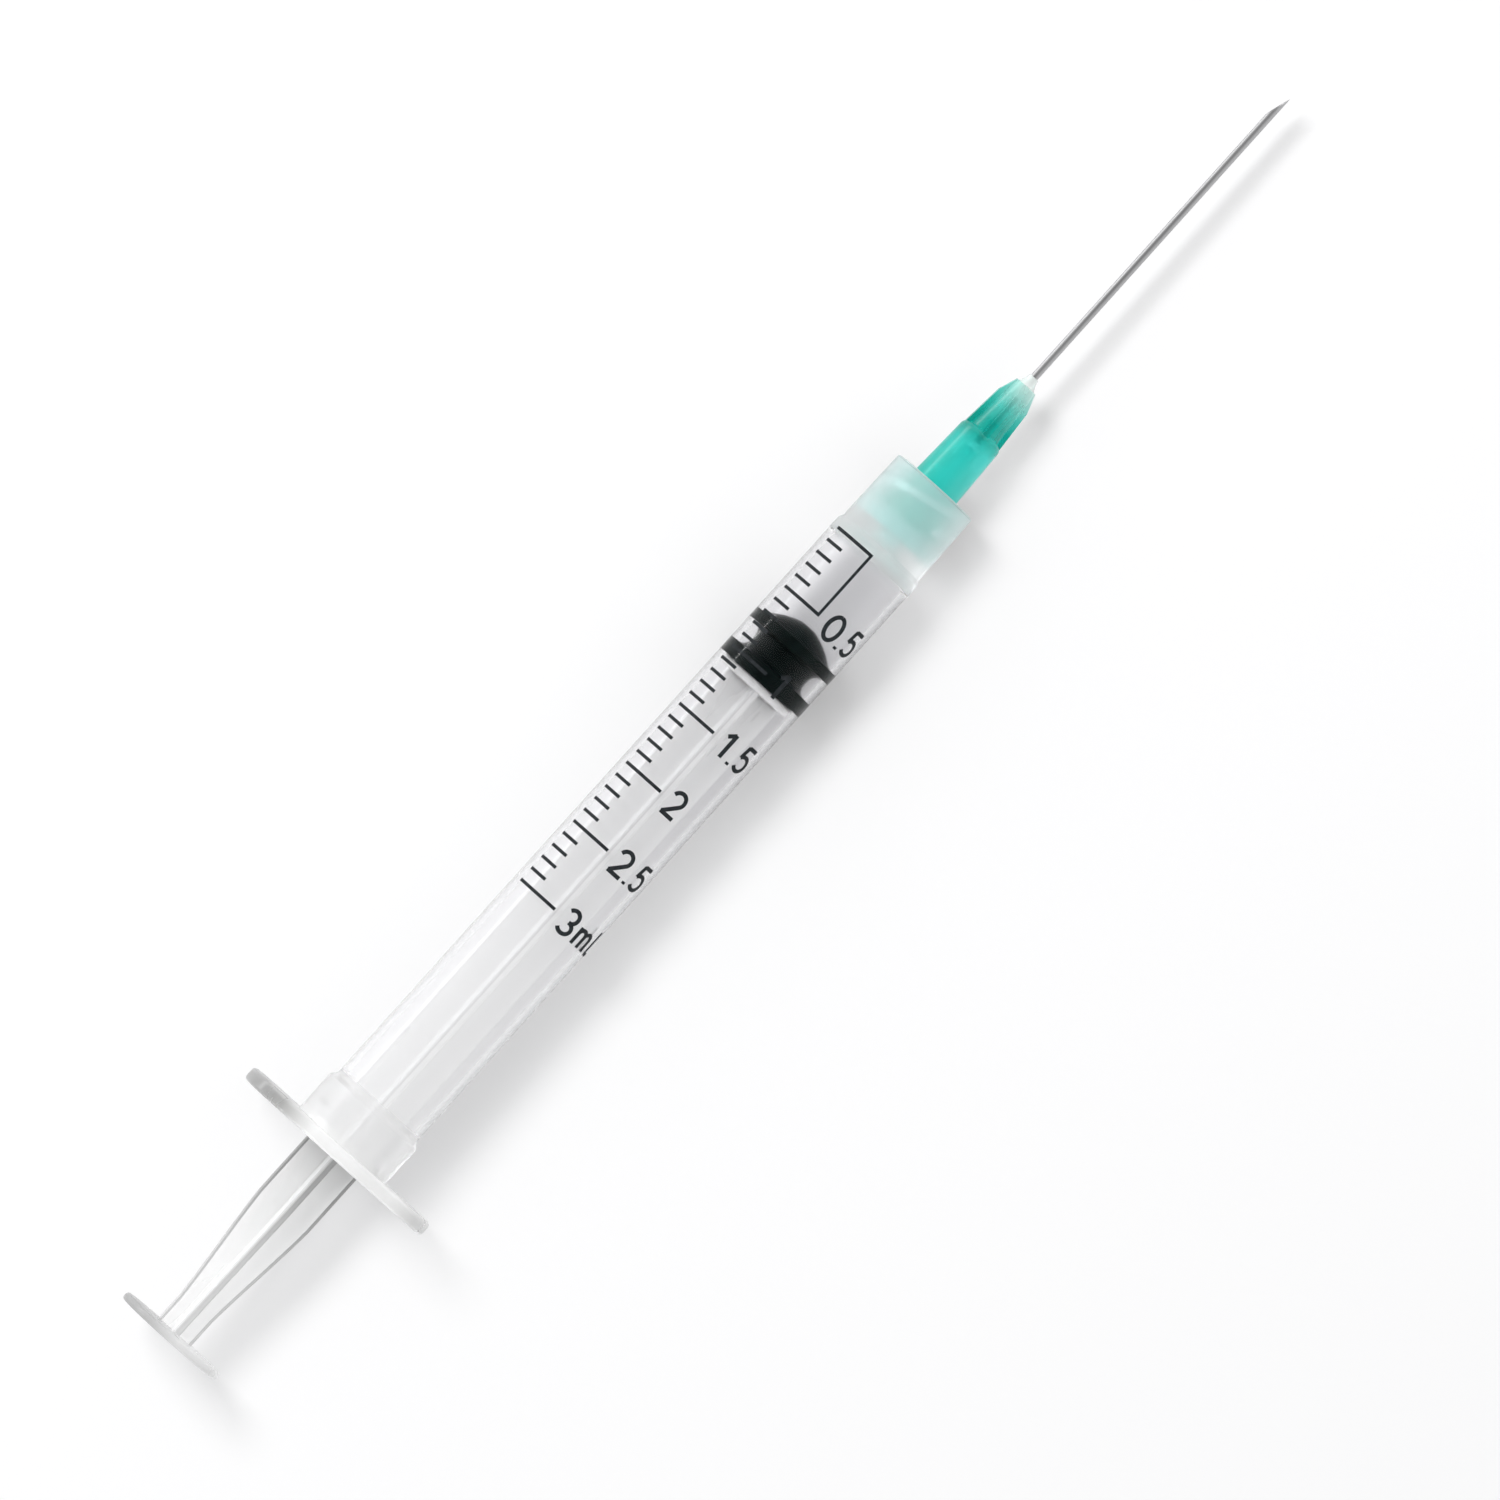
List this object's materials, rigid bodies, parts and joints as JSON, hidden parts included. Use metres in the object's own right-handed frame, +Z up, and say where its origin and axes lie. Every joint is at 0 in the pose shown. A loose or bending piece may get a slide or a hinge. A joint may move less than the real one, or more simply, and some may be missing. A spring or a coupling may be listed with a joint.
{
  "type": "luer lock syringe",
  "caption": "Small clear luer lock syringe with a black stopper, a ribbed plunger rod and a teal-hubbed needle screwed into its lock collar.",
  "frame": {"origin": "centre of the bounding box at its lowest level, on the surface that the syringe lies on", "axes": "+X along the syringe towards the needle's tip, tipped down by about 1.1 degrees as it lies; +Y across, along the wings of the finger flange; +Z up"},
  "size_m": [0.167, 0.0236, 0.0136],
  "materials": {
    "clear_plastic": "gloss",
    "rod_plastic": "satin",
    "black_rubber": "satin",
    "scale_ink": "matte",
    "teal_plastic": "gloss",
    "needle_steel": "satin",
    "clear_glue": "gloss"
  },
  "bodies": {
    "barrel": {"barrel": "clear_plastic", "graduation_print": "scale_ink"},
    "stopper": {"stopper": "black_rubber"},
    "plunger_rod": {"plunger_rod": "rod_plastic"},
    "needle_seat": {"adhesive_bead": "clear_glue"},
    "needle": {"needle_hub": "teal_plastic", "cannula": "needle_steel"}
  },
  "joints": [
    {"name": "plunger_slide", "type": "slide", "parent": "barrel", "child": "stopper", "axis": [0.9998, 0, -0.0193], "range_m": [-0.0594, 0.011]},
    {"name": "rod_turn", "type": "hinge", "parent": "stopper", "child": "plunger_rod", "pos_m": [0.00454, 0, 0.00559], "axis": [0.9998, 0, -0.0193], "continuous": true},
    {"name": "needle_slide", "type": "slide", "parent": "barrel", "child": "needle_seat", "axis": [0.9998, 0, -0.0193], "range_m": [0, 0.005]},
    {"name": "needle_turn", "type": "hinge", "parent": "needle_seat", "child": "needle", "pos_m": [0.02617, 0, 0.00517], "axis": [0.9998, 0, -0.0193], "range_deg": [0, 360]}
  ],
  "couplings": [
    {"joint": "needle_turn", "follows": "needle_slide", "rad_per_m": 1256.6}
  ]
}
